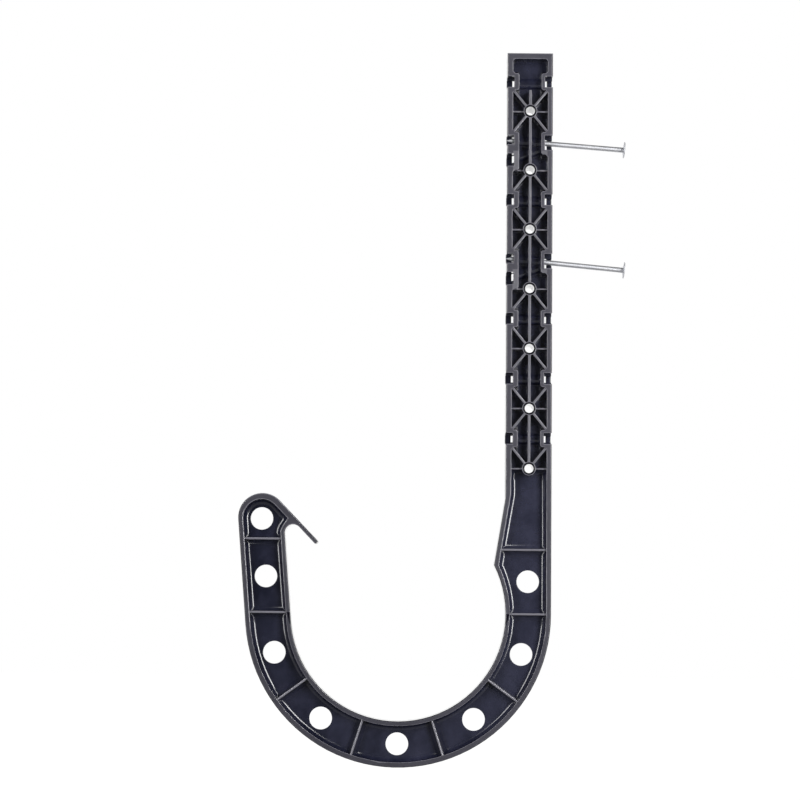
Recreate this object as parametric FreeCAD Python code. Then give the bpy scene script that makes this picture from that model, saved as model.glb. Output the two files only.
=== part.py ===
import FreeCAD
import Part
import math
import os

# J hook cable and pipe support with two nails pushed through its stem, sizes in millimetres.
# The hook is one moulding of H section: a rim on the front, a rim on the back and a thin web
# between them, stiffened by ribs. Its front faces -Y, the stem runs up +Z, and the origin is
# the centre of the round cradle.

Vector = FreeCAD.Vector

# Section
depth = 16.0
web_thickness = 2.4
edge_bevel = 0.4

# Cradle and arm
pipe_radius = 57.15
pipe_clearance = 0.15
band_width = 24.35
cradle_wall = 2.4
outer_wall = 2.7
arm_lean = 4.75
arm_length = 56.4
nose_angle = 27.0

# Tip of the arm and its finger
tip_radius = 12.95
tip_wall = 3.5
tip_pocket_round = 9.85
finger_slope = 46.2
finger_length = 30.0
finger_thickness = 2.15
crotch_round = 4.45
tip_pocket_reach = 9.6

# Stem
stem_width = 24.7
stem_height = 304.4
stem_left_wall = 3.1
stem_top_wall = 3.1
stem_top_round = 1.7
stem_foot = 61.7
nose_wall = 2.7

# Ribs of the hook
hook_rib = 1.25
hook_rib_drop = 1.4
hook_rib_count = 6
hook_rib_pitch = 36.0
arm_rib_below_tip = 11.3
stem_rib_height = 34.3
foot_bevel = 1.7

# Lightening holes through the web
big_hole_radius = 6.03
arm_hole_height = 19.2
arm_hole_inset = 0.2
tip_hole_offset = 0.55
tip_hole_drop = 0.45
stem_hole_height = 17.4

# Nail bosses up the stem
nail_hole_count = 7
nail_hole_radius = 2.42
boss_radius = 3.7
boss_pitch = 32.43
top_boss_below_top = 31.98

# Star ribs round each boss
spine_rib = 1.4
diagonal_rib = 1.2
cross_rib = 0.8
cross_rib_drop = 2.2
spine_drop = 0.15

# Side passages for nails, between the bosses
passage_half_height = 3.0
jog_side = 1.6
jog_left_gap = 0.65
jog_left_wall = 2.7
jog_right_gap = 1.55
jog_right_wall = 1.9
jog_corner = 0.8
jog_gusset = 1.2
skirt_height = 2.6
skirt_reach = 1.6
tunnel_radius = 2.1
arch_radius = 3.15

# Passages that hold the nails have a second, steeper way out to the left
nail_passages = (1, 3)
nail_notch_top = 2.9
right_notch_bottom = -5.1
upper_notch_bottom = -2.25
lower_notch_top = -7.15
lower_notch_bottom = -14.0
right_jog_bottom = -7.6

# Nails
nail_radius = 1.43
nail_length = 63.5
nail_head_radius = 4.5
nail_head_thickness = 1.0
nail_point_length = 2.9
nail_tip_inset = 0.1
upper_nail_angle = 4.36
upper_nail_rise = 1.44
lower_nail_angle = 5.37
lower_nail_rise = 1.23

# Allowances: how far cutters run past a face, and how near an edge lies to its plane
overrun = 1.0
in_plane = 0.001

# Places worked out from the sizes above
cradle_radius = pipe_radius + pipe_clearance
outer_radius = cradle_radius + band_width
mid_radius = cradle_radius + band_width / 2
half_depth = depth / 2
half_web = web_thickness / 2
stem_right = outer_radius
stem_left = outer_radius - stem_width
stem_inner_left = stem_left + stem_left_wall
stem_inner_right = stem_right - outer_wall
stem_inner_top = stem_height - stem_top_wall
pocket_inner_radius = cradle_radius + cradle_wall
pocket_outer_radius = outer_radius - outer_wall
jog_left_outer = stem_inner_left + jog_left_gap
jog_left_inner = jog_left_outer + jog_left_wall
jog_right_outer = stem_inner_right - jog_right_gap
jog_right_inner = jog_right_outer - jog_right_wall
jog_half_height = passage_half_height + jog_side


# A direction in the plane of the front face, by its angle from +X towards +Z
def heading(degrees):
    return Vector(math.cos(math.radians(degrees)), 0, math.sin(math.radians(degrees)))


# Point on a circle round a centre
def on_circle(centre, radius, degrees):
    return centre + heading(degrees) * radius


# Point where two lines meet, each given by its normal and its distance from the origin
def meet(normal_a, distance_a, normal_b, distance_b):
    cross = normal_a.x * normal_b.z - normal_a.z * normal_b.x
    x = (distance_a * normal_b.z - distance_b * normal_a.z) / cross
    z = (normal_a.x * distance_b - normal_b.x * distance_a) / cross
    return Vector(x, 0, z)


# Straight edge
def straight(start, end):
    return Part.LineSegment(start, end).toShape()


# Arc round a centre between two angles, either way round
def arc(centre, radius, start, end):
    return Part.Arc(
        on_circle(centre, radius, start),
        on_circle(centre, radius, (start + end) / 2),
        on_circle(centre, radius, end),
    ).toShape()


# Solid with the given closed outline, from one depth to another
def prism(edges, front, back):
    face = Part.Face(Part.Wire(edges))
    face.translate(Vector(0, front, 0))
    return face.extrude(Vector(0, back - front, 0))


# Solid with a straight-sided outline
def plate(points, front, back):
    corners = points + points[:1]
    return prism([straight(a, b) for a, b in zip(corners, corners[1:])], front, back)


# Upright block between two heights and two sides
def block(left, right, bottom, top, front, back):
    size = Vector(right - left, back - front, top - bottom)
    return Part.makeBox(size.x, size.y, size.z, Vector(left, front, bottom))


# Straight rib of a given width between two points
def rib(start, end, width, front, back):
    along = (end - start).normalize()
    side = Vector(-along.z, 0, along.x) * (width / 2)
    return plate([start - side, end - side, end + side, start + side], front, back)


# Round pin or hole along the depth
def post(centre, radius, front, back):
    return Part.makeCylinder(radius, back - front, centre + Vector(0, front, 0), Vector(0, 1, 0))


# Bar with a half-round front and a flat back that lies along a line in the mid-plane
def half_round_bar(start, end, radius, back):
    along = (end - start).normalize()
    side = Vector(-along.z, 0, along.x) * radius
    front = Vector(0, -radius, 0)
    edges = [Part.Arc(start - side, start + front, start + side).toShape()]
    rear = Vector(0, back, 0)
    corners = [start + side, start + side + rear, start - side + rear, start - side]
    if back <= 0:
        corners = [start + side, start - side]
    edges += [straight(a, b) for a, b in zip(corners, corners[1:])]
    return Part.Face(Part.Wire(edges)).extrude(end - start)


# The same shape on the other side of the web
def mirrored(shape):
    return shape.mirror(Vector(0, 0, 0), Vector(0, 1, 0))


origin = Vector(0, 0, 0)
up = Vector(0, 0, 1)
arm_angle = 180 + arm_lean
arm_normal = heading(arm_angle)
arm_up = heading(90 + arm_lean)
tip_centre = arm_normal * (outer_radius - tip_radius) + arm_up * arm_length
arm_rib_height = tip_centre.z - arm_rib_below_tip
finger_normal = heading(90 - finger_slope)
finger_along = heading(-finger_slope)
finger_top = finger_normal.dot(tip_centre) + tip_radius
finger_bottom = finger_top - finger_thickness
crotch_centre = meet(
    arm_normal, cradle_radius - crotch_round, finger_normal, finger_bottom - crotch_round
)
nose_tip = on_circle(origin, cradle_radius, nose_angle)
foot_bend = Vector(stem_left, 0, stem_foot)
nose_along = (foot_bend - nose_tip).normalize()
nose_normal = Vector(nose_along.z, 0, -nose_along.x)


# Height of the nail hole with a given number, counted from the top
def boss_height(number):
    return stem_height - top_boss_below_top - number * boss_pitch


# Height of the side passage above a nail hole
def passage_height(number):
    return boss_height(number) + boss_pitch / 2


# Outer shape of the hook, seen from the front
def hook_outline():
    finger_start = on_circle(tip_centre, tip_radius, 90 - finger_slope)
    finger_end = finger_start + finger_along * finger_length
    finger_inner_end = finger_end - finger_normal * finger_thickness
    crotch_top = on_circle(crotch_centre, crotch_round, 90 - finger_slope)
    return [
        straight(nose_tip, foot_bend),
        straight(foot_bend, Vector(stem_left, 0, stem_height)),
        straight(Vector(stem_left, 0, stem_height), Vector(stem_right, 0, stem_height)),
        straight(Vector(stem_right, 0, stem_height), Vector(stem_right, 0, 0)),
        arc(origin, outer_radius, 0, arm_angle - 360),
        straight(
            on_circle(origin, outer_radius, arm_angle), on_circle(tip_centre, tip_radius, arm_angle)
        ),
        arc(tip_centre, tip_radius, arm_angle, 90 - finger_slope),
        straight(finger_start, finger_end),
        straight(finger_end, finger_inner_end),
        straight(finger_inner_end, crotch_top),
        arc(crotch_centre, crotch_round, 90 - finger_slope, arm_angle),
        straight(
            on_circle(crotch_centre, crotch_round, arm_angle),
            on_circle(origin, cradle_radius, arm_angle),
        ),
        arc(origin, cradle_radius, arm_angle - 360, nose_angle),
    ]


# Outline of the hollow between the rims of cradle, arm and stem
def main_pocket_outline():
    nose_distance = nose_normal.dot(nose_tip) + nose_wall
    reach = math.sqrt(pocket_inner_radius**2 - nose_distance**2)
    nose_corner = nose_normal * nose_distance + nose_along * reach
    corner_angle = math.degrees(math.atan2(nose_corner.z, nose_corner.x))
    bend = meet(nose_normal, nose_distance, Vector(1, 0, 0), stem_inner_left)
    round_height = stem_inner_top - stem_top_round
    top_left = Vector(stem_inner_left + stem_top_round, 0, round_height)
    top_right = Vector(stem_inner_right - stem_top_round, 0, round_height)
    arm_outer_top = meet(arm_normal, pocket_outer_radius, up, arm_rib_height)
    arm_inner_top = meet(arm_normal, pocket_inner_radius, up, arm_rib_height)
    return [
        straight(nose_corner, bend),
        straight(bend, on_circle(top_left, stem_top_round, 180)),
        arc(top_left, stem_top_round, 180, 90),
        straight(
            on_circle(top_left, stem_top_round, 90), on_circle(top_right, stem_top_round, 90)
        ),
        arc(top_right, stem_top_round, 90, 0),
        straight(on_circle(top_right, stem_top_round, 0), Vector(stem_inner_right, 0, 0)),
        arc(origin, pocket_outer_radius, 0, arm_angle - 360),
        straight(on_circle(origin, pocket_outer_radius, arm_angle), arm_outer_top),
        straight(arm_outer_top, arm_inner_top),
        straight(arm_inner_top, on_circle(origin, pocket_inner_radius, arm_angle)),
        arc(origin, pocket_inner_radius, arm_angle - 360, corner_angle),
    ]


# Hollow inside the tip of the arm, above the arm's cross rib
def tip_pocket_outline():
    outer_line = pocket_outer_radius
    finger_line = finger_top - tip_wall
    round_centre = meet(
        arm_normal, outer_line - tip_pocket_round, finger_normal, finger_line - tip_pocket_round
    )
    crotch_radius = crotch_round + cradle_wall
    point = meet(
        finger_normal, finger_line, finger_along, finger_along.dot(tip_centre) + tip_pocket_reach
    )
    to_point = point - crotch_centre
    turn = math.degrees(math.acos(crotch_radius / to_point.Length))
    leave = math.degrees(math.atan2(to_point.z, to_point.x)) + turn
    outer_base = meet(arm_normal, outer_line, up, arm_rib_height)
    inner_base = meet(arm_normal, pocket_inner_radius, up, arm_rib_height)
    return [
        straight(outer_base, on_circle(round_centre, tip_pocket_round, arm_angle)),
        arc(round_centre, tip_pocket_round, arm_angle, 90 - finger_slope),
        straight(on_circle(round_centre, tip_pocket_round, 90 - finger_slope), point),
        straight(point, on_circle(crotch_centre, crotch_radius, leave)),
        arc(crotch_centre, crotch_radius, leave, arm_angle),
        straight(on_circle(crotch_centre, crotch_radius, arm_angle), inner_base),
        straight(inner_base, outer_base),
    ]


# Ribs that cross the cradle and the foot of the stem, in line with the pipe's centre
def hook_ribs(front, back):
    half = hook_rib / 2
    ribs = []
    for number in range(hook_rib_count):
        angle = -number * hook_rib_pitch
        start = on_circle(origin, cradle_radius + cradle_wall / 2, angle)
        end = on_circle(origin, outer_radius - outer_wall / 2, angle)
        ribs.append(rib(start, end, hook_rib, front, back))
    for middle, level in ((mid_radius, stem_rib_height), (-mid_radius, arm_rib_height)):
        left = middle - band_width
        right = middle + band_width
        ribs.append(block(left, right, level - half, level + half, front, back))
    return ribs


# Star of ribs round one nail hole, with its boss
def star_ribs(number, front, back):
    centre = Vector(mid_radius, 0, boss_height(number))
    reach_up = boss_pitch / 2 - jog_half_height
    pieces = [post(centre, boss_radius, front, back)]
    ends = []
    if number not in nail_passages:
        ends += [(stem_inner_left, reach_up), (stem_inner_right, reach_up)]
    if number < nail_hole_count - 1:
        ends += [(stem_inner_left, -reach_up), (stem_inner_right, -reach_up)]
    for side, rise in ends:
        end = Vector(side, 0, centre.z + rise)
        pieces.append(rib(centre, end, diagonal_rib, front, back))
    return pieces


# Thin level ribs beside each boss
def cross_ribs(front, back):
    half = cross_rib / 2
    ribs = []
    for number in range(nail_hole_count):
        level = boss_height(number)
        left = stem_left + stem_left_wall / 2
        right = stem_right - outer_wall / 2
        ribs.append(block(left, right, level - half, level + half, front, back))
    return ribs


# Upright rib down the middle of the stem
def spine(front, back):
    top = Vector(mid_radius, 0, passage_height(0) - jog_half_height)
    bottom = Vector(mid_radius, 0, boss_height(nail_hole_count - 1))
    return rib(bottom, top, spine_rib, front, back)


# Block behind a wall opening, with bevelled free corners and a gusset at each end of its foot
def jog_block(wall_side, free_side, bottom, top):
    inward = math.copysign(1, free_side - wall_side)
    half = [
        (wall_side, top + jog_gusset),
        (wall_side + inward * jog_gusset, top),
        (free_side - inward * jog_corner, top),
        (free_side, top - jog_corner),
    ]
    other_half = [(x, bottom + top - z) for x, z in reversed(half)]
    points = [Vector(x, 0, z) for x, z in half + other_half]
    return plate(points, -half_depth - overrun, -half_web)


# Low ledge round the foot of such a block, where the corner is too narrow to be hollow
def jog_skirt(wall_side, free_side, bottom, top):
    left = min(wall_side, free_side)
    right = max(wall_side, free_side)
    front = -half_web - skirt_height
    return block(left, right, bottom - skirt_reach, top + skirt_reach, front, -half_web)


# Heights of the wall openings on the left and right of a passage, and of the blocks behind them
def passage_plan(number):
    centre = passage_height(number)
    low = centre - passage_half_height
    high = centre + passage_half_height
    plan = {
        "left": [(low, high)],
        "right": [(low, high)],
        "left_jog": (centre - jog_half_height, centre + jog_half_height),
        "right_jog": (centre - jog_half_height, centre + jog_half_height),
        "tunnels": [(Vector(stem_left, 0, centre), Vector(stem_right, 0, centre))],
    }
    if number in nail_passages:
        top = centre + nail_notch_top
        plan["left"] = [
            (centre + upper_notch_bottom, top),
            (centre + lower_notch_bottom, centre + lower_notch_top),
        ]
        plan["right"] = [(centre + right_notch_bottom, top)]
        plan["left_jog"] = (boss_height(number), centre + jog_half_height)
        plan["right_jog"] = (centre + right_jog_bottom, centre + jog_half_height)
        tip, head = nail_line(number)
        right_middle = centre + (right_notch_bottom + nail_notch_top) / 2
        left_middle = centre + (lower_notch_bottom + lower_notch_top) / 2
        steep = (Vector(stem_left, 0, left_middle), Vector(stem_right, 0, right_middle))
        plan["tunnels"] = [(tip, tip + (head - tip) * (stem_width / (head.x - tip.x))), steep]
    return plan


# Axis of the nail in a passage, from its point to the outer face of its head
def nail_line(number):
    angle, rise = upper_nail_angle, upper_nail_rise
    if number == nail_passages[1]:
        angle, rise = lower_nail_angle, lower_nail_rise
    tip = Vector(stem_left + nail_tip_inset, 0, passage_height(number) + rise)
    return tip, tip + heading(-angle) * (nail_length + nail_head_thickness)


# Blocks behind the openings and half-round roofs over the tunnels, all in the front half
def passage_walls(number):
    plan = passage_plan(number)
    walls = []
    for shape in (jog_block, jog_skirt):
        walls.append(shape(stem_inner_left, jog_left_inner, *plan["left_jog"]))
        walls.append(shape(stem_inner_right, jog_right_inner, *plan["right_jog"]))
    for start, end in plan["tunnels"]:
        walls.append(half_round_bar(start, end, arch_radius, 0))
    return walls


# Cutters for the wall openings and tunnels of one passage
def passage_cuts(number):
    plan = passage_plan(number)
    cuts = []
    for low, high in plan["left"]:
        cuts.append(
            block(stem_left - overrun, jog_left_outer, low, high, -half_depth - overrun, -half_web)
        )
    for low, high in plan["right"]:
        cuts.append(
            block(jog_right_outer, stem_right + overrun, low, high, -half_depth - overrun, -half_web)
        )
    for start, end in plan["tunnels"]:
        past = (end - start).normalize() * (overrun + tunnel_radius)
        cuts.append(half_round_bar(start - past, end + past, tunnel_radius, tunnel_radius))
    return cuts


# Middles of the round lightening holes
def big_holes():
    centres = []
    for number in range(hook_rib_count - 1):
        centres.append(on_circle(origin, mid_radius, -(number + 0.5) * hook_rib_pitch))
    centres.append(Vector(mid_radius, 0, stem_hole_height))
    arm_middle = arm_normal * mid_radius
    along_arm = (arm_hole_height - arm_middle.z) / arm_up.z
    centres.append(arm_middle + arm_up * along_arm - arm_normal * arm_hole_inset)
    centres.append(tip_centre - Vector(tip_hole_offset, 0, tip_hole_drop))
    return centres


# Bevels the foot of a hollow, where its sides meet the web
def bevel_foot(space):
    foot = [
        edge
        for edge in space.Edges
        if abs(edge.BoundBox.YMin + half_web) < in_plane
        and abs(edge.BoundBox.YMax + half_web) < in_plane
    ]
    return space.makeChamfer(foot_bevel, foot)


# Everything that is hollow in the front half of the hook
def front_hollows(passages_open):
    low_rim = -half_depth + hook_rib_drop
    over = -half_depth - overrun
    below_ribs = prism(main_pocket_outline(), low_rim, -half_web)
    above_ribs = prism(main_pocket_outline(), over, low_rim)
    last = nail_hole_count - 1
    split = boss_height(last) - cross_rib / 2
    stem_part = block(stem_left, stem_right, split, stem_height, over, -half_web)
    hook_cells = below_ribs.cut([stem_part] + hook_ribs(low_rim, -half_web))
    last_boss = post(Vector(mid_radius, 0, boss_height(last)), boss_radius, over, -half_web)
    hook_cells = bevel_foot(hook_cells).cut(last_boss)
    cross_top = -half_depth + cross_rib_drop
    stars = []
    for number in range(nail_hole_count):
        stars += star_ribs(number, over, -half_web)
        if passages_open:
            stars += passage_walls(number)
    stars.append(spine(-half_depth + spine_drop, -half_web))
    stars += cross_ribs(cross_top, -half_web)
    stem_cells = prism(main_pocket_outline(), over, -half_web).common(stem_part).cut(stars)
    top_hook = above_ribs.cut([stem_part, last_boss])
    tip_below = prism(tip_pocket_outline(), low_rim, -half_web).cut(hook_ribs(low_rim, -half_web))
    tip_below = bevel_foot(tip_below)
    tip_above = prism(tip_pocket_outline(), over, low_rim)
    return [hook_cells, stem_cells, top_hook, tip_below, tip_above]


# The black moulding
def make_hook_body():
    blank = prism(hook_outline(), -half_depth, half_depth)
    rims = [
        edge
        for edge in blank.Edges
        if abs(abs(edge.BoundBox.YMin) - half_depth) < in_plane
        and abs(edge.BoundBox.YMax - edge.BoundBox.YMin) < in_plane
    ]
    blank = blank.makeChamfer(edge_bevel, rims)
    cutters = front_hollows(True)
    cutters += [mirrored(space) for space in front_hollows(False)]
    for centre in big_holes():
        cutters.append(post(centre, big_hole_radius, -half_depth, half_depth))
    for number in range(nail_hole_count):
        centre = Vector(mid_radius, 0, boss_height(number))
        cutters.append(post(centre, nail_hole_radius, -half_depth - overrun, half_depth + overrun))
        cutters += passage_cuts(number)
    return blank.cut(cutters)


# Plain wire nail along its axis, point first
def make_nail(number):
    tip, head = nail_line(number)
    along = (head - tip).normalize()
    shank_start = tip + along * nail_point_length
    point = Part.makeCone(0, nail_radius, nail_point_length, tip, along)
    shank = Part.makeCylinder(nail_radius, nail_length - nail_point_length, shank_start, along)
    cap = Part.makeCylinder(
        nail_head_radius, nail_head_thickness, tip + along * nail_length, along
    )
    return point.fuse([shank, cap]).removeSplitter()


nodes = {
    "hook_body": make_hook_body(),
    "upper_nail": make_nail(nail_passages[0]),
    "lower_nail": make_nail(nail_passages[1]),
}

os.makedirs("parts", exist_ok=True)
for name, shape in nodes.items():
    shape.exportStep("parts/" + name + ".step")
    box = shape.BoundBox
    print(name, shape.isValid(), len(shape.Solids), "solids", len(shape.Faces), "faces")
    print("  volume", round(shape.Volume), "mm3, X", round(box.XMin, 2), round(box.XMax, 2))
    print("  Z", round(box.ZMin, 2), round(box.ZMax, 2))
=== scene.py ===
# %% [markdown]
# This scene dresses a moulded black J hook with two nails pushed through its stem.
# The hook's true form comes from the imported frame, in metres, so it is loaded first and its
# box is kept. Everything that follows adds the softened edges of a moulding, the finish of
# plastic and zinc, the nails' fine rings, and a white studio.

# %% Load the frame
import math
import bpy
import bmesh
from mathutils import Matrix, Vector


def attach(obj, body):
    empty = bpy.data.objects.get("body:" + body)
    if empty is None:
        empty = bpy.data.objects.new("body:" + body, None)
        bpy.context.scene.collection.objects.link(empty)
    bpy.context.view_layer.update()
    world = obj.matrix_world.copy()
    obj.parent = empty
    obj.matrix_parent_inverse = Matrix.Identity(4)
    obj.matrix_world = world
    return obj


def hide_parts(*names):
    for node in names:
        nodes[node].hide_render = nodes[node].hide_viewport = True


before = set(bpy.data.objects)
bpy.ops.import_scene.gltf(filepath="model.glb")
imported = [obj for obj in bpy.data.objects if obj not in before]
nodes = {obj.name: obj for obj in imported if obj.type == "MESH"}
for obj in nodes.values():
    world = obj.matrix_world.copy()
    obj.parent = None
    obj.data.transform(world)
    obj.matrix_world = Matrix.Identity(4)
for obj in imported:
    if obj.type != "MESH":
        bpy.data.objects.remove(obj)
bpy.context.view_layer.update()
mm = 0.001
print("frame nodes:", sorted(nodes))

# %% [markdown]
# Shader maths reads best as plain expressions. A small class wraps one output socket, and its
# operators add Math nodes, so that 1 - mask or 0.5 * noise can be written as it is said.

# %% A socket that does arithmetic


class Value:
    def __init__(self, finish, socket):
        self.finish = finish
        self.socket = socket

    def maths(self, operation, *inputs):
        return self.finish.node("ShaderNodeMath", {"operation": operation}, inputs)

    def __add__(self, other):
        return self.maths("ADD", self, other)

    def __radd__(self, other):
        return self.maths("ADD", other, self)

    def __sub__(self, other):
        return self.maths("SUBTRACT", self, other)

    def __rsub__(self, other):
        return self.maths("SUBTRACT", other, self)

    def __mul__(self, other):
        return self.maths("MULTIPLY", self, other)

    def __rmul__(self, other):
        return self.maths("MULTIPLY", other, self)

    def __truediv__(self, other):
        return self.maths("DIVIDE", self, other)

    def size(self):
        return self.maths("ABSOLUTE", self)

    def rounded(self):
        return self.maths("ROUND", self)

    def least(self, other):
        return self.maths("MINIMUM", self, other)

    def most(self, other):
        return self.maths("MAXIMUM", self, other)

    def power(self, other):
        return self.maths("POWER", self, other)

    def above(self, level, softness):
        steps = {"Value": self, "From Min": level - softness / 2, "From Max": level + softness / 2}
        return self.finish.node("ShaderNodeMapRange", {"clamp": True}, steps)


# %% [markdown]
# A finish is a node tree in the making. One method adds any node: first its settings, then the
# numbers or links of its sockets. Materials and the world are both such trees, so both use it.

# %% A finish and its nodes


class Finish:
    def __init__(self, tree):
        self.tree = tree

    def node(self, kind, settings, inputs, output=0):
        made = self.tree.nodes.new(kind)
        for name, setting in settings.items():
            setattr(made, name, setting)
        pairs = inputs.items() if isinstance(inputs, dict) else enumerate(inputs)
        for key, given in pairs:
            self.feed(made.inputs[key], given)
        return Value(self, made.outputs[output])

    def feed(self, socket, given):
        if isinstance(given, Value):
            self.tree.links.new(given.socket, socket)
        else:
            socket.default_value = given

    def place(self):
        return self.node("ShaderNodeTexCoord", {}, [], "Object")

    def axes(self, vector):
        return [self.node("ShaderNodeSeparateXYZ", {}, [vector], axis) for axis in range(3)]

    def noise(self, scale, detail=2.0, roughness=0.5):
        inputs = {"Scale": scale, "Detail": detail, "Roughness": roughness}
        inputs["Vector"] = self.place()
        return self.node("ShaderNodeTexNoise", {}, inputs)

    def blend(self, factor, first, second):
        settings = {"data_type": "RGBA"}
        return self.node("ShaderNodeMix", settings, {0: factor, 6: first, 7: second}, 2)

    def blend_directions(self, factor, first, second):
        settings = {"data_type": "VECTOR"}
        return self.node("ShaderNodeMix", settings, {0: factor, 4: first, 5: second}, 1)

    def direction(self, x, y, z):
        combined = self.node("ShaderNodeCombineXYZ", {}, [x, y, z])
        return self.node("ShaderNodeVectorMath", {"operation": "NORMALIZE"}, [combined])

    def bump(self, height, distance, strength, normal):
        inputs = {"Height": height, "Distance": distance, "Strength": strength, "Normal": normal}
        return self.node("ShaderNodeBump", {}, inputs)

    def surface(self, **given):
        for name, value in given.items():
            self.feed(self.tree.nodes["Principled BSDF"].inputs[name.replace("_", " ")], value)


def new_material(name):
    material = bpy.data.materials.new(name)
    material.use_nodes = True
    return material, Finish(material.node_tree)


# %% [markdown]
# The hook is black plastic with a trace of blue. A rim is finely rough, so it scatters light and
# looks greyer, while a pocket is smooth, stays dark, and mirrors the lamps only where its foot
# curves. The rims are also painted lighter and the pockets darker, partly for the rougher rim and
# partly as painted light and shade, for the side light that reaches the rims but not the recessed
# floors; the walls of the pockets are painted darker still, as painted shade. Slow clouds and a
# fine speckle vary the tone at random, and towards the nails, on the right, it is painted lighter,
# as painted light from that side. The edges of the pockets and the crests of the ribs, and the
# tops of the lattice's ribs near the nail holes and along the spine, are painted lighter as
# painted highlights, since the photograph shows light lines there. The nail holes and their bosses
# are smooth and coloured like the pockets, and a small wedge on the front rim at each end of the
# cradle's half circle is smooth and coloured dark like them.
#
# Edges are rounded by shading as well, more widely in the stem's lattice, where the mesh stays
# sharp. Beside the ribs of the cradle and the arm the foot is shaded square and without its
# clear coat, since the photograph shows no light there.

# %% Black moulded plastic
# Rims painted lighter and pockets darker: partly a rougher rim, partly painted light and shade.
pocket_dark = (0.006, 0.0075, 0.021, 1)
pocket_light = (0.032, 0.034, 0.066, 1)
# Pocket walls painted darker still: painted shade in the recesses.
wall_painted_shade = (0.003, 0.003, 0.009, 1)
rim_dark = (0.022, 0.021, 0.035, 1)
rim_light = (0.042, 0.040, 0.061, 1)
# Painted highlight on the tops of the lattice's ribs near the nail holes and on the spine.
painted_crest_highlight = (0.12, 0.118, 0.14, 1)
# Painted highlight on the pockets' edges and the ribs' crests.
painted_edge_highlight = (0.25, 0.245, 0.285, 1)
rim_level = 7.8 * mm
rim_blur = 0.15 * mm
crest_level = 5.5 * mm
crest_blur = 0.4 * mm
wall_level = 3.4 * mm
wall_blur = 1.0 * mm
flat_lean = 0.97
flat_blur = 0.03
tilt_lean = 0.35
tilt_blur = 0.3
squared_least = 0.15
squared_blur = 0.1
thin_blur = 0.1 * mm
mask_blur = 0.2 * mm
wedge_blur = 0.3 * mm
edge_round = 0.5 * mm
lattice_round = 0.9 * mm
bevel_samples = 8
lattice_start = 72 * mm
lattice_top = 296 * mm
# Tone painted lighter towards the right, the side of the nails: painted light from that side.
painted_light_rightward = 1.5
cloud_scale = 60
speckle_scale = 420
grain_scale = 2400
cloud_share = 0.75
speckle_share = 0.25
middle_tone = 0.5
tone_spread = 0.45
grain_height = 0.6
speckle_height = 0.4
pocket_bump = 0.15
rim_bump = 0.85
bump_distance = 0.02 * mm
bump_strength = 0.5
pocket_roughness = 0.20
cloud_roughness = 0.08
rim_roughness = 0.24
wall_polish = 0.5
plastic_specular = 0.8
coat_roughness = 0.1
spine_radius = 69.5 * mm
spine_width = 1.2 * mm
star_width = 9.3 * mm
star_height = 10.5 * mm
outer_limit = 5 * mm
last_hole = 6
hole_pitch = 32.43 * mm
lowest_hole = 77.84 * mm
hole_side = 69.475 * mm
hole_reach = 3.35 * mm
cradle_radius = 57.3 * mm
wedge_inset = 0.5 * mm
wedge_width = 1.5 * mm
wedge_height = 8.0 * mm
rib_turn = math.radians(36)
rib_foot = 3.3 * mm
rib_foot_level = 3.1 * mm
arm_rib_level = 39.2 * mm
stem_rib_level = 34.3 * mm


def from_nail_hole(x, z):
    level = (z - lowest_hole) / hole_pitch
    nearest = level.rounded().most(0).least(last_hole)
    return x - hole_side, (level - nearest) * hole_pitch


def near_nail_holes(x, z):
    across, along = from_nail_hole(x, z)
    distance = (along * along + across * across).power(0.5)
    return 1 - distance.above(hole_reach, thin_blur)


def on_star(x, z):
    across, along = from_nail_hole(x, z)
    in_width = 1 - across.size().above(star_width, mask_blur)
    in_height = 1 - along.size().above(star_height, mask_blur)
    beside_hole = in_width * in_height
    lattice = z.above(lattice_start, mm) * (1 - z.above(lattice_top, mm))
    spine = (1 - across.size().above(spine_width, mask_blur)) * lattice
    return beside_hole.most(spine)


# A small wedge on the front rim at each end of the cradle's half circle, coloured dark and smooth.
def on_wedge(x, y, z):
    inset = (x * x + z * z).power(0.5) - cradle_radius
    past_wall = inset.above(wedge_inset, mask_blur)
    taper = wedge_width + z * (wedge_width / wedge_height)
    in_taper = 1 - (inset - taper).above(wedge_inset, mask_blur)
    in_height = z.above(-wedge_height, wedge_blur) * (1 - z.above(0, wedge_blur))
    return past_wall * in_taper * in_height * (1 - y.above(0, mm))


def beside_ribs(x, z):
    turn = z.maths("ARCTAN2", z, x) / rib_turn
    radius = (x * x + z * z).power(0.5)
    from_spoke = (turn - turn.rounded()) * rib_turn * radius
    spoke = (1 - from_spoke.size().above(rib_foot, thin_blur)) * (1 - z.above(rib_foot, thin_blur))
    level = arm_rib_level + x.above(0, mm) * (stem_rib_level - arm_rib_level)
    return spoke.most(1 - (z - level).size().above(rib_foot, thin_blur))


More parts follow.
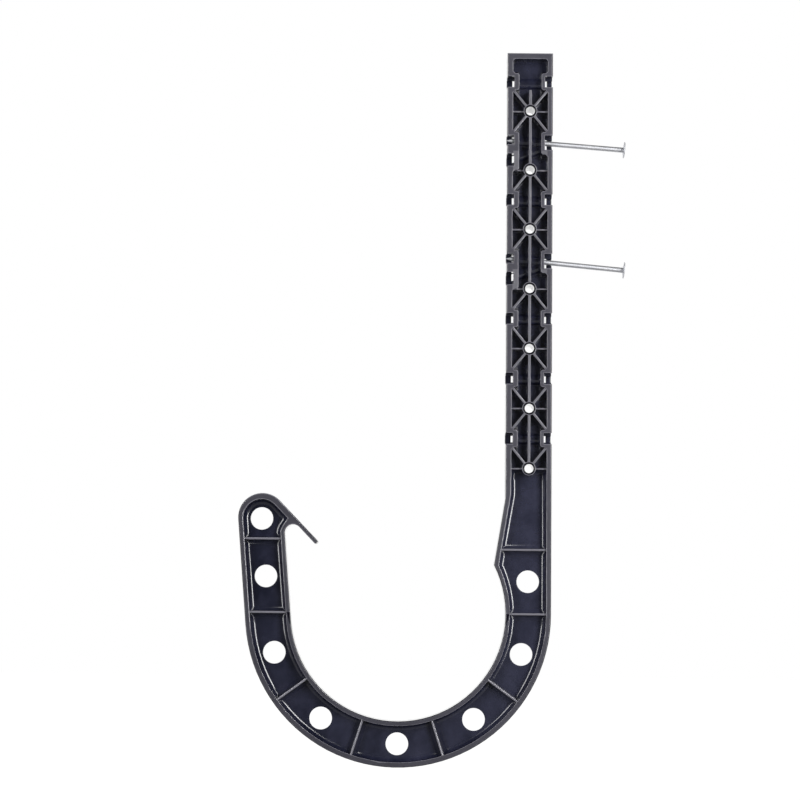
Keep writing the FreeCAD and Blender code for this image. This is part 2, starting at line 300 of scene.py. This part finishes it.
def black_plastic():
    material, finish = new_material("black_plastic")
    x, y, z = finish.axes(finish.place())
    depth = y.size()
    edge = finish.node("ShaderNodeBevel", {"samples": bevel_samples}, {"Radius": edge_round})
    wide = finish.node("ShaderNodeBevel", {"samples": bevel_samples}, {"Radius": lattice_round})
    edge = finish.blend_directions(z.above(lattice_start, mm), edge, wide)
    lean_x, lean_y, lean_z = finish.axes(edge)
    fall = z.least(0)
    radius = (x * x + fall * fall).power(0.5)
    out_x = x / radius
    out_z = fall / radius
    lean_out = lean_x * out_x + lean_z * out_z
    lean_along = lean_z * out_x - lean_x * out_z
    flat = lean_y.size().above(flat_lean, flat_blur)
    # Nail holes, bosses and rim wedges take the pockets' darker colour and smooth surface.
    smooth_dark_spots = near_nail_holes(x, z).most(on_wedge(x, y, z))
    on_rim = depth.above(rim_level, rim_blur) * flat * (1 - smooth_dark_spots)
    on_wall = depth.above(wall_level, wall_blur) * (1 - on_rim)
    tilt = lean_y.size().above(tilt_lean, tilt_blur)
    tilted = tilt * (1 - flat) * depth.above(crest_level, crest_blur)
    inner = 1 - ((radius - spine_radius) * lean_out).above(outer_limit, mm)
    below_rim = 1 - depth.above(rim_level, rim_blur)
    on_crest = depth.above(crest_level, crest_blur) * below_rim * flat
    # Pocket-side edges and crests below the rim get a painted highlight.
    edge_highlight_mask = (tilted * inner).most(on_crest) * (1 - smooth_dark_spots)
    clouds = finish.noise(cloud_scale, 3.0, 0.6)
    speckle = finish.noise(speckle_scale)
    grain = finish.noise(grain_scale, 2.0, 0.6)
    # Random tone plus painted light that grows towards the right.
    tone_and_side_light = cloud_share * clouds + speckle_share * speckle + painted_light_rightward * x
    tone_and_light_contrast = tone_and_side_light.above(middle_tone, tone_spread)
    # Pocket floor colour, darker than the rim: partly finish, partly painted shade in the recess.
    floor = finish.blend(tone_and_light_contrast, pocket_dark, pocket_light)
    # The walls of the pockets get painted shade.
    pocket = finish.blend(on_wall, floor, wall_painted_shade)
    rim = finish.blend(tone_and_light_contrast, rim_dark, rim_light)
    # Rim-level tops in the lattice near the nail holes and along the spine get a painted
    # highlight.
    rim = finish.blend(on_star(x, z), rim, painted_crest_highlight)
    beside = beside_ribs(x, z) * (1 - depth.above(rib_foot_level, mask_blur))
    squared = beside * lean_along
    rounded = finish.direction(lean_x + squared * out_z, lean_y, lean_z - squared * out_x)
    dull = on_rim.most(squared.size().above(squared_least, squared_blur))
    relief = grain_height * grain + speckle_height * speckle
    height = relief * (pocket_bump + rim_bump * on_rim) * (1 - smooth_dark_spots)
    roughness = pocket_roughness + cloud_roughness * clouds + on_rim * rim_roughness
    finish.surface(
        Base_Color=finish.blend(edge_highlight_mask, finish.blend(on_rim, pocket, rim), painted_edge_highlight),
        Roughness=roughness * (1 - wall_polish * on_wall),
        Specular_IOR_Level=plastic_specular,
        Coat_Weight=1 - dull,
        Coat_Roughness=coat_roughness,
        Normal=finish.bump(height, bump_distance, bump_strength, rounded),
    )
    return material


# %% [markdown]
# The nails are drawn steel wire with a thin bright zinc coat. Zinc on wire is a soft pale metal
# with small dull patches.

# %% Zinc plated wire
zinc_light = (0.95, 0.95, 0.96, 1)
zinc_dark = (0.72, 0.74, 0.80, 1)
patch_scale = 420
scratch_scale = 1800
zinc_roughness = 0.5
patch_roughness = 0.12


def zinc():
    material, finish = new_material("zinc")
    patches = finish.noise(patch_scale, 4.0, 0.6)
    scratches = finish.noise(scratch_scale)
    flat = finish.node("ShaderNodeNewGeometry", {}, [], "Normal")
    finish.surface(
        Base_Color=finish.blend(patches, zinc_dark, zinc_light),
        Metallic=1.0,
        Roughness=zinc_roughness + patch_roughness * patches,
        Normal=finish.bump(scratches, bump_distance, bump_strength, flat),
    )
    return material


# %% [markdown]
# A mould leaves no knife edges: each rim and rib of the real hook has a small radius that
# catches a thin line of light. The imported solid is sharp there. Its mesh is left alone, and a
# copy loses the normals that came with it, which no longer fit once its corners are merged. The
# copy is then cut level where the stem's lattice starts. Below that cut the lines that cross its
# flat faces are cleared, and it is bevelled at the feet of the pockets and along the outward
# edges of the rims and the ribs' crests. The crowded lattice has no room for bevels, keeps its
# triangles as they are, and leaves its rounding to the finish. Weighted normals then keep the
# flats flat.

# %% Round the hook's edges
merge_distance = 0.002 * mm
flat_angle = math.radians(0.6)
edge_steps = 3
least_turn = math.radians(50)
least_length = 0.8 * mm
smooth_angle = math.radians(35)
edge_radius = 0.54 * mm
least_room = 1.1 * mm
web_edge = 2.0 * mm
foot_edge = 3.1 * mm
foot_steps = 4
foot_edge_round = 0.9 * mm
foot_least_turn = math.radians(30)
foot_most_turn = math.radians(60)


def room_beside(edge):
    return min(face.calc_area() for face in edge.link_faces) / edge.calc_length()


def is_near_web(edge, level):
    return all(abs(corner.co.y) < level for corner in edge.verts)


def takes_round(edge):
    if len(edge.link_faces) != 2 or not edge.is_convex or is_near_web(edge, web_edge):
        return False
    return edge.calc_face_angle() > least_turn and edge.calc_length() > least_length


def is_below_lattice(edge):
    low, high = sorted(corner.co.z for corner in edge.verts)
    return high < lattice_start + merge_distance and low < lattice_start - merge_distance


def is_edge(edge):
    return is_below_lattice(edge) and takes_round(edge) and room_beside(edge) > least_room


def is_foot(edge):
    if len(edge.link_faces) != 2 or edge.is_convex or not is_near_web(edge, foot_edge):
        return False
    return is_below_lattice(edge) and foot_least_turn < edge.calc_face_angle() < foot_most_turn


def choose_edges(piece, wanted):
    bpy.ops.mesh.select_all(action="DESELECT")
    bpy.ops.mesh.select_mode(type="EDGE")
    mesh = bmesh.from_edit_mesh(piece.data)
    chosen = [edge for edge in mesh.edges if wanted(edge)]
    for edge in chosen:
        edge.select = True
    bmesh.update_edit_mesh(piece.data)
    print(wanted.__name__, "chose", len(chosen), "edges")


def round_edges(piece, wanted, radius, steps):
    choose_edges(piece, wanted)
    bpy.ops.mesh.bevel(offset=radius, segments=steps, clamp_overlap=False, loop_slide=False)


def rounded_hook():
    source = nodes["hook_body"]
    piece = bpy.data.objects.new("hook_moulding", source.data.copy())
    bpy.context.scene.collection.objects.link(piece)
    bpy.ops.object.select_all(action="DESELECT")
    piece.select_set(True)
    bpy.context.view_layer.objects.active = piece
    bpy.ops.mesh.customdata_custom_splitnormals_clear()
    bpy.ops.object.mode_set(mode="EDIT")
    bpy.ops.mesh.select_all(action="SELECT")
    bpy.ops.mesh.remove_doubles(threshold=merge_distance)
    bpy.ops.mesh.bisect(plane_co=(0, 0, lattice_start), plane_no=(0, 0, 1))
    choose_edges(piece, is_below_lattice)
    bpy.ops.mesh.dissolve_limited(angle_limit=flat_angle)
    round_edges(piece, is_foot, foot_edge_round, foot_steps)
    round_edges(piece, is_edge, edge_radius, edge_steps)
    bpy.ops.object.mode_set(mode="OBJECT")
    bpy.ops.object.shade_smooth_by_angle(angle=smooth_angle)
    weights = piece.modifiers.new("flat faces", "WEIGHTED_NORMAL")
    weights.keep_sharp = True
    bpy.ops.object.modifier_apply(modifier=weights.name)
    print("hook_moulding faces:", len(piece.data.polygons))
    return piece


hook = rounded_hook()

# %% [markdown]
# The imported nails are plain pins, so their axes can be read from their meshes: the point is the
# vertex farthest to the left, and the head's face is what lies farthest from it. Each nail is
# grown again from a small circle at the point, ring by ring, up to a thin head. Its shank and
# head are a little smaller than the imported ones.

# %% Grow the nails
nail_sides = 32
shank_radius = 1.4 * mm
point_radius = 0.15 * mm
point_length = 2.9 * mm
ring_pitch = 1.25 * mm
ring_depth = 0.07 * mm
ring_starts = 0.35
ring_deepest = 0.65
rim_slack = 0.1 * mm
ring_count = 46
head_radius = 4.4 * mm
head_dish = 0.5 * mm
head_edge = 0.3 * mm
head_round = 0.15 * mm


def nail_axis(source):
    points = [source.matrix_world @ corner.co for corner in source.data.vertices]
    tip = min(points, key=lambda point: point.x)
    reach = max((point - tip).length for point in points)
    rim = [point for point in points if (point - tip).length > reach - rim_slack]
    return tip, sum(rim, Vector()) / len(rim)


class Lathe:
    def __init__(self, radius):
        bpy.ops.object.select_all(action="DESELECT")
        bpy.ops.mesh.primitive_circle_add(vertices=nail_sides, radius=radius, fill_type="NGON")
        bpy.ops.object.mode_set(mode="EDIT")
        bpy.ops.mesh.select_all(action="SELECT")
        self.radius = radius
        self.level = 0.0

    def grow(self, level, radius):
        rise = {"value": (0, 0, level - self.level)}
        bpy.ops.mesh.extrude_region_move(TRANSFORM_OT_translate=rise)
        ratio = radius / self.radius
        bpy.ops.transform.resize(value=(ratio, ratio, 1), center_override=(0, 0, level))
        self.radius = radius
        self.level = level


def grown_nail(name):
    tip, end = nail_axis(nodes[name])
    length = (end - tip).length
    lathe = Lathe(point_radius)
    lathe.grow(point_length, shank_radius)
    for ring in range(ring_count):
        start = point_length + ring * ring_pitch
        lathe.grow(start + ring_starts * ring_pitch, shank_radius)
        lathe.grow(start + ring_deepest * ring_pitch, shank_radius - ring_depth)
        lathe.grow(start + ring_pitch, shank_radius)
    under_head = length - head_round - head_edge - head_dish
    lathe.grow(under_head, shank_radius)
    lathe.grow(under_head + head_dish, head_radius)
    lathe.grow(length - head_round, head_radius)
    lathe.grow(length, head_radius - head_round)
    bpy.ops.mesh.select_all(action="SELECT")
    bpy.ops.mesh.normals_make_consistent(inside=False)
    bpy.ops.object.mode_set(mode="OBJECT")
    piece = bpy.context.object
    piece.name = name + "_wire"
    turn = (end - tip).to_track_quat("Z", "Y").to_matrix().to_4x4()
    piece.matrix_world = Matrix.Translation(tip) @ turn
    bpy.ops.object.transform_apply(location=True, rotation=True, scale=True)
    bpy.ops.object.shade_smooth_by_angle(angle=smooth_angle)
    print(piece.name, "length", round(length, 4), "faces", len(piece.data.polygons))
    return piece


# %% Dress the pieces


def dress(piece, material, replaced):
    piece.data.materials.clear()
    piece.data.materials.append(material)
    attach(piece, "root")
    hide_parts(replaced)


dress(hook, black_plastic(), "hook_body")
metal = zinc()
for name in ("upper_nail", "lower_nail"):
    dress(grown_nail(name), metal, name)

# %% [markdown]
# The studio is a pale floor well below the hanging hook, white paper behind it, and two tall
# soft lamps, one on each side in front and raised a little. In front of the hook the room is
# dark, which makes a black moulding look black: only its curved feet and edges mirror the lamps.

# %% Floor
floor_height = -0.24
floor_size = 12.0
floor_colour = (0.25, 0.25, 0.25, 1)
floor_lit_from = 0.3
floor_lit_blur = 0.6


def ray_kinds(finish):
    kinds = ("Is Camera Ray", "Is Glossy Ray", "Is Transmission Ray")
    return [finish.node("ShaderNodeLightPath", {}, [], kind) for kind in kinds]


def pale_floor():
    bpy.ops.object.select_all(action="DESELECT")
    bpy.ops.mesh.primitive_plane_add(size=floor_size, location=(0, 0, floor_height))
    floor = bpy.context.object
    floor.name = "floor"
    material, finish = new_material("pale_floor")
    seen, gloss, through = ray_kinds(finish)
    along = finish.axes(finish.place())[1]
    mirrored = (gloss + through) * along.above(floor_lit_from, floor_lit_blur)
    finish.surface(
        Base_Color=floor_colour,
        Roughness=0.9,
        Specular_IOR_Level=0.0,
        Emission_Color=(1, 1, 1, 1),
        Emission_Strength=seen + mirrored,
    )
    floor.data.materials.append(material)


pale_floor()
print("floor at", floor_height)

# %% White paper behind, dark room in front
room_light = 0.2
dark_front = 0.03
paper_from = 0.0
paper_blur = 0.3
paper_top = 0.5
paper_top_blur = 0.2


def studio_world():
    world = bpy.data.worlds.new("studio")
    bpy.context.scene.world = world
    world.use_nodes = True
    finish = Finish(world.node_tree)
    y, z = finish.axes(finish.node("ShaderNodeTexCoord", {}, [], "Generated"))[1:]
    paper = y.above(paper_from, paper_blur) * (1 - z.above(paper_top, paper_top_blur))
    mirrored = dark_front + (1 - dark_front) * paper
    seen, gloss, through = ray_kinds(finish)
    soft = (1 - seen) * (1 - gloss) * (1 - through)
    strength = seen + through + gloss * mirrored + soft * room_light
    sky = world.node_tree.nodes["Background"]
    sky.inputs["Color"].default_value = (1, 1, 1, 1)
    finish.feed(sky.inputs["Strength"], strength)


studio_world()

# %% Lamps
lamp_plan = {"left_lamp": (-40, 9), "right_lamp": (34, 16)}
lamp_raise = 10
lamp_distance = 1.5
lamp_width = 0.42
lamp_height = 1.2
lamp_target = Vector((0, 0, 0.11))


def soft_lamp(name, side_angle, watts):
    lamp = bpy.data.lights.new(name, "AREA")
    lamp.shape = "RECTANGLE"
    lamp.size = lamp_width
    lamp.size_y = lamp_height
    lamp.energy = watts
    holder = bpy.data.objects.new(name, lamp)
    bpy.context.scene.collection.objects.link(holder)
    turn = math.radians(side_angle)
    lift = math.radians(lamp_raise)
    level = Vector((math.sin(turn), -math.cos(turn), 0)) * math.cos(lift)
    place = lamp_target + (level + Vector((0, 0, math.sin(lift)))) * lamp_distance
    aim = (lamp_target - place).to_track_quat("-Z", "Y").to_matrix().to_4x4()
    holder.matrix_world = Matrix.Translation(place) @ aim


for name, (side_angle, watts) in lamp_plan.items():
    soft_lamp(name, side_angle, watts)
print("lamps:", ", ".join(lamp_plan))

# %% [markdown]
# The camera stands a little over a metre in front of the cradle and is tipped up. Its pitch and
# roll were fitted to the photograph. Its lens, and that it isn't turned sideways, were chosen.

# %% Camera
camera_place = Vector((0, -1.240, 0.0085))
camera_pitch = 4.90
camera_roll = 0.524
camera_lens = 103.5
sensor_width = 36
view_reach = 50


def photo_camera():
    data = bpy.data.cameras.new("camera")
    data.lens = camera_lens
    data.sensor_width = sensor_width
    data.clip_end = view_reach
    camera = bpy.data.objects.new("camera", data)
    bpy.context.scene.collection.objects.link(camera)
    tilt = Matrix.Rotation(math.radians(90 + camera_pitch), 4, "X")
    roll = Matrix.Rotation(math.radians(camera_roll), 4, "Z")
    camera.matrix_world = Matrix.Translation(camera_place) @ tilt @ roll
    bpy.context.scene.camera = camera


photo_camera()
bpy.context.scene.view_settings.view_transform = "Standard"
